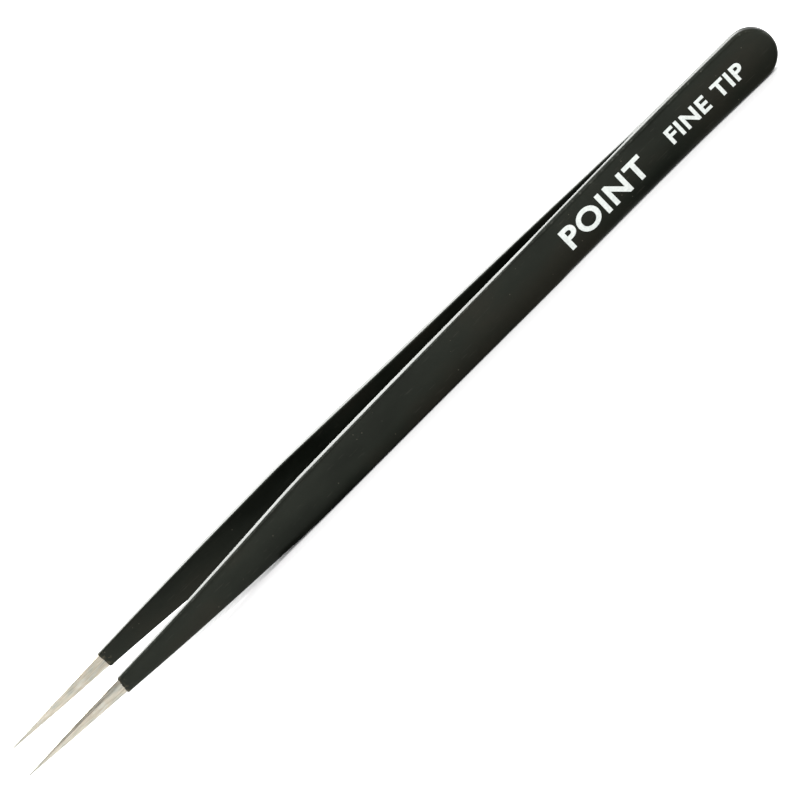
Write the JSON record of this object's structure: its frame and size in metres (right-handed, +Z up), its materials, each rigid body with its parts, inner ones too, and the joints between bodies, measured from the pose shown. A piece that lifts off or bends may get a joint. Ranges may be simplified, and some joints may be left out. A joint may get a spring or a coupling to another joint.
{
  "type": "precision tweezers",
  "caption": "Long straight fine-point tweezers: two bowed spring-steel blades welded at the heel, black satin coating, bare ground points.",
  "frame": {"origin": "under the middle of the whole object, on the surface it lies on when it rests on its side edge", "axes": "+X from the points to the heel, +Y from the front blade to the rear blade, the way they open, +Z up across the blades' width"},
  "size_m": [0.14, 0.0104, 0.008],
  "materials": {
    "blade_steel": "ground satin stainless steel",
    "weld_metal": "fused steel, hidden in the heel",
    "black_coat": "baked epoxy film, black, satin, conductive",
    "white_ink": "pad-printed white ink"
  },
  "bodies": {
    "heel": {"front_blade_heel": "blade_steel", "rear_blade_heel": "blade_steel", "spot_weld_nuggets": "weld_metal", "heel_coat": "black_coat", "front_blade_flexure": "blade_steel", "front_coat_flexure": "black_coat", "rear_blade_flexure": "blade_steel", "rear_coat_flexure": "black_coat"},
    "front_arm": {"front_blade_arm": "blade_steel", "front_coat_arm": "black_coat"},
    "rear_arm": {"rear_blade_arm": "blade_steel", "rear_coat_arm": "black_coat"}
  },
  "joints": [
    {"name": "front_arm_flex", "type": "hinge", "parent": "heel", "child": "front_arm", "pos_m": [0.035, -0.00116, 0.004], "axis": [0, 0, -1], "range_deg": [0, 2.41], "stiffness_Nm_per_rad": 0.82, "deforming": ["front_blade_flexure", "front_coat_flexure"]},
    {"name": "rear_arm_flex", "type": "hinge", "parent": "heel", "child": "rear_arm", "pos_m": [0.035, 0.00116, 0.004], "axis": [0, 0, 1], "range_deg": [0, 2.41], "stiffness_Nm_per_rad": 0.82, "deforming": ["rear_blade_flexure", "rear_coat_flexure"]}
  ]
}
